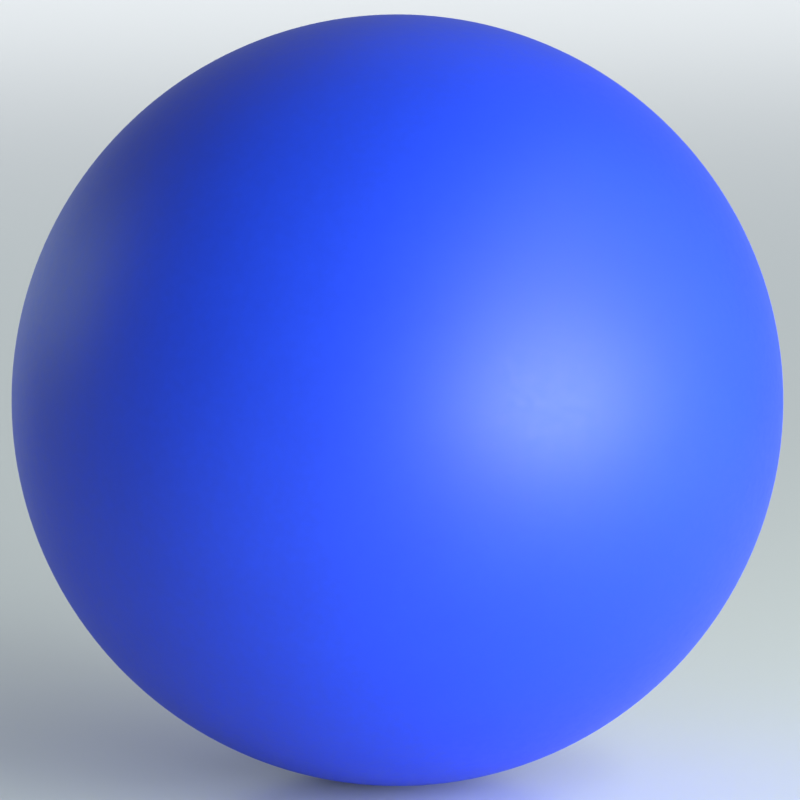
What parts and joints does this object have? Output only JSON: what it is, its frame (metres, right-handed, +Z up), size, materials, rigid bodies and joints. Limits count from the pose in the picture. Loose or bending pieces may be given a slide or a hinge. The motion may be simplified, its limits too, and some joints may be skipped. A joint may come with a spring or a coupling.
{
  "type": "croquet ball",
  "caption": "Plain blue croquet ball: nylon cups joined by a tongue, a groove and a weld ring, closed round a pressed cork-and-rubber core.",
  "frame": {"origin": "centre of the ball, which is also the centre of its bounding box", "axes": "+Y along the mould axis, from the front cup's pole to the rear cup's; the seam is in the XZ plane; +Z up, with the ball resting on its lowest point"},
  "size_m": [0.092, 0.0922, 0.092],
  "materials": {
    "shell_nylon": "satin",
    "weld_nylon": "matte",
    "cork_rubber": "matte"
  },
  "bodies": {
    "root": {"front_shell": "shell_nylon", "rear_shell": "shell_nylon", "weld_ring": "weld_nylon", "core": "cork_rubber"}
  },
  "joints": []
}
